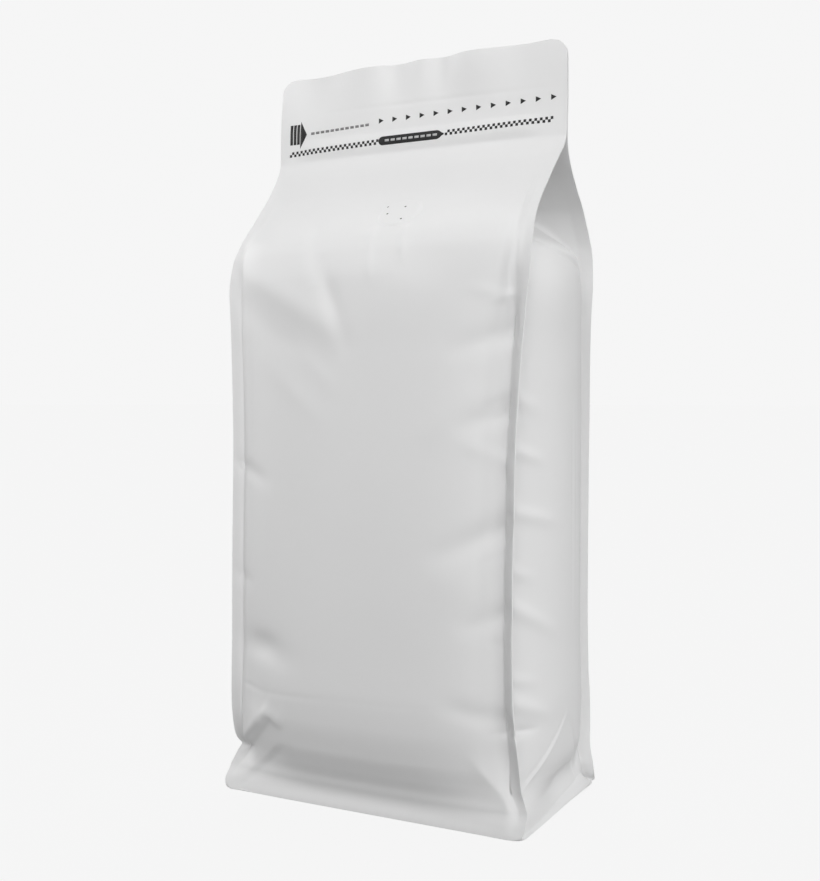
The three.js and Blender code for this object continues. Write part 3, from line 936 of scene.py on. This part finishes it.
def badge():
    """The badge on the closure: a quarter circle each way at the left, pointed at the right."""
    left, right = BADGE_X
    round_to, taper_from = left + BADGE_HALF, right - BADGE_POINT
    x = stops(left, (round_to, 8), (taper_from, 20), (right, 3))
    inside = 1 - ((round_to - x) / BADGE_HALF) ** 2 * (x < round_to)
    round_end = np.sqrt(np.clip(inside, BADGE_LEAST, 1))
    half = BADGE_HALF * round_end * (1 - BADGE_TAPER * ease(taper_from, right, x))
    return [mark(x, BADGE_Z - half, BADGE_Z + half, FINE_ROWS)]


def dashes(first, last, z, slope, count, half, lift=INK_LIFT):
    """A row of dashes in place of words, so many, that climb by a slope from the height z."""
    left = np.linspace(first, last, count)
    wide = DASH_SHARE * (left[1] - left[0])
    height = z + slope * (left - first)
    return [block(x, wide, h - half, h + half, lift=lift) for x, h in zip(left, height)]


square_lines = [square for line in SQUARES for square in squares(*line)]
ink_and_shade_piece("zip_print", arrow() + triangles() + badge() + square_lines, dark_ink)
ink_and_shade_piece("band_dashes", dashes(*BAND_DASHES), grey_ink)
ink_and_shade_piece("badge_dashes", dashes(*BADGE_DASHES), pale_ink)


# %% Pinholes of the valve, as discs of painted shade
def pinhole_shade(x, z):
    """A tiny disc of painted shade on the valve's patch, for the shaded inside of a hole."""
    u, v = disc_grid(PINHOLE_POINTS)
    rise = valve_rise(np.hypot(x - VALVE_X, (z - VALVE_Z) / valve_lean())) + PINHOLE_LIFT
    return on_front(x + PINHOLE_R * u, z + PINHOLE_R * v * valve_lean(), rise + INK_THICK)


# The pinholes are not cut: a near-black disc paints the shade inside each.
painted_hole_shade = film_material("painted_hole_shade", PINHOLE_SHADE, PINHOLE_ROUGH)
ink_and_shade_piece("valve_pinhole_shade", [pinhole_shade(x, z) for x, z in PINHOLES], painted_hole_shade)

# %% [markdown]
# ## The floor, the light and the camera
# A pack like this is photographed on a dark table, so that no light comes back up under it, and the
# surroundings are made pale afterwards. We get the same in one go. The floor and the far background
# look pale to the camera, with a faint shadow under the pouch, but to the light that travels on
# between surfaces the floor is dark grey and the background is black.

# %% Floor
FLOOR_HALF = 60000.0  # half its side, in millimetres
PALE = 0.92  # the background's brightness
FLOOR_GLOW = 0.898  # the floor's own glow, to the eye, which no shadow takes away
FLOOR_SHOWN, FLOOR_BOUNCE = 0.02, 0.25  # share of light it gives back, to the eye and in truth


def camera_switch(nodes, links, for_light, for_camera):
    """A mix of two shaders by whether a ray comes straight from the camera."""
    mix, path = nodes.new("ShaderNodeMixShader"), nodes.new("ShaderNodeLightPath")
    links.new(path.outputs["Is Camera Ray"], mix.inputs["Fac"])
    links.new(for_light, mix.inputs[1])
    links.new(for_camera, mix.inputs[2])
    return mix.outputs["Shader"]


def floor_material():
    """Pale to the camera: a steady glow plus a little diffuse light that can be shadowed."""
    material = bpy.data.materials.new("pale_floor")
    material.use_nodes = True
    nodes, links = material.node_tree.nodes, material.node_tree.links
    nodes.remove(nodes["Principled BSDF"])

    def diffuse(white):
        node = nodes.new("ShaderNodeBsdfDiffuse")
        node.inputs["Color"].default_value = (white, white, white, 1)
        return node.outputs["BSDF"]

    glow, both = nodes.new("ShaderNodeEmission"), nodes.new("ShaderNodeAddShader")
    glow.inputs["Strength"].default_value = FLOOR_GLOW
    links.new(glow.outputs["Emission"], both.inputs[0])
    links.new(diffuse(FLOOR_SHOWN), both.inputs[1])
    shown = camera_switch(nodes, links, diffuse(FLOOR_BOUNCE), both.outputs["Shader"])
    links.new(shown, nodes["Material Output"].inputs["Surface"])
    return material


floor_corners = np.array([(-1, -1, 0), (1, -1, 0), (1, 1, 0), (-1, 1, 0)]) * FLOOR_HALF
floor = mesh_piece("floor", floor_corners, np.array([[0, 1, 2, 3]]), floor_material())

# %% Lights
SUNS = {  # azimuth clockwise from the back, elevation, strength and angular size in degrees
    "right": (120, 15, 1.09, 50),
    "right_front": (150, 15, 0.90, 50),
    "front": (180, 15, 0.30, 50),
    "left": (270, 15, 1.98, 50),
    "behind": (345, 50, 1.50, 50),
    "right_behind": (60, 15, 1.34, 50),
}
BOX_PLACE, BOX_AIM = (0.0, -0.40, 0.62), (0.0, 0.0, 0.30)  # soft box over the mouth, in metres
BOX_SIZE, BOX_WATTS = 0.3, 1.05


def lamp_from(name, light, towards):
    """Puts a light into the scene, shining from the given direction."""
    lamp = bpy.data.objects.new(name, light)
    lamp.rotation_euler = Vector(towards).to_track_quat("Z", "Y").to_euler()
    bpy.context.scene.collection.objects.link(lamp)
    return lamp


def sun(name, azimuth, elevation, strength, spread):
    """A soft sun, so wide that its shadows have no edge."""
    light = bpy.data.lights.new(name, "SUN")
    light.energy, light.angle = strength, np.radians(spread)
    round_by, up_by = np.radians(azimuth), np.radians(elevation)
    towards = (np.sin(round_by) * np.cos(up_by), np.cos(round_by) * np.cos(up_by), np.sin(up_by))
    lamp_from(name, light, towards)


def soft_box(name, place, aim, size, watts):
    """A square lamp near the mouth, which makes the band the brightest part."""
    light = bpy.data.lights.new(name, "AREA")
    light.shape, light.size, light.energy = "SQUARE", size, watts
    lamp_from(name, light, Vector(place) - Vector(aim)).location = place


for name, settings in SUNS.items():
    sun(name, *settings)
soft_box("soft_box", BOX_PLACE, BOX_AIM, BOX_SIZE, BOX_WATTS)

# %% Background
def studio_world():
    """Pale to the camera, black to the light."""
    world = bpy.data.worlds.new("studio")
    world.use_nodes = True
    nodes, links = world.node_tree.nodes, world.node_tree.links
    black, pale = nodes["Background"], nodes.new("ShaderNodeBackground")
    black.inputs["Color"].default_value = (0, 0, 0, 1)
    pale.inputs["Color"].default_value = (PALE, PALE, PALE, 1)
    shown = camera_switch(nodes, links, black.outputs["Background"], pale.outputs["Background"])
    links.new(shown, nodes["World Output"].inputs["Surface"])
    return world


bpy.context.scene.world = studio_world()
bpy.context.scene.view_settings.view_transform = "Standard"

# %% Camera
CAMERA_TURN, CAMERA_PITCH = 27.80, -1.85  # degrees round from the front, and down
CAMERA_BACK, CAMERA_SIDE, CAMERA_UP = 521.0, -0.6, 168.3  # millimetres from the middle of the foot
CAMERA_LENS, CAMERA_SENSOR = 48.79, 36.0
CAMERA_CLIP = (0.01, 200)  # nearest and farthest that it sees, in metres


def look(turn, pitch):
    """Directions of a camera turned round and tipped: right, up, forward and level forward."""
    a, t = np.radians(turn), np.radians(pitch)
    flat = np.array([-np.sin(a), np.cos(a), 0])
    right = np.array([np.cos(a), np.sin(a), 0])
    upright = np.array([0, 0, 1])
    up = upright * np.cos(t) - flat * np.sin(t)
    forward = flat * np.cos(t) + upright * np.sin(t)
    return right, up, forward, flat


right, up, forward, flat = look(CAMERA_TURN, CAMERA_PITCH)
place = (-flat * CAMERA_BACK + right * CAMERA_SIDE + np.array([0, 0, CAMERA_UP])) * MM
camera_data = bpy.data.cameras.new("camera")
camera_data.lens, camera_data.sensor_width = CAMERA_LENS, CAMERA_SENSOR
camera_data.clip_start, camera_data.clip_end = CAMERA_CLIP
camera = bpy.data.objects.new("camera", camera_data)
camera.matrix_world = Matrix((
    (right[0], up[0], -forward[0], place[0]),
    (right[1], up[1], -forward[1], place[1]),
    (right[2], up[2], -forward[2], place[2]),
    (0, 0, 0, 1),
))
bpy.context.scene.collection.objects.link(camera)
bpy.context.scene.camera = camera
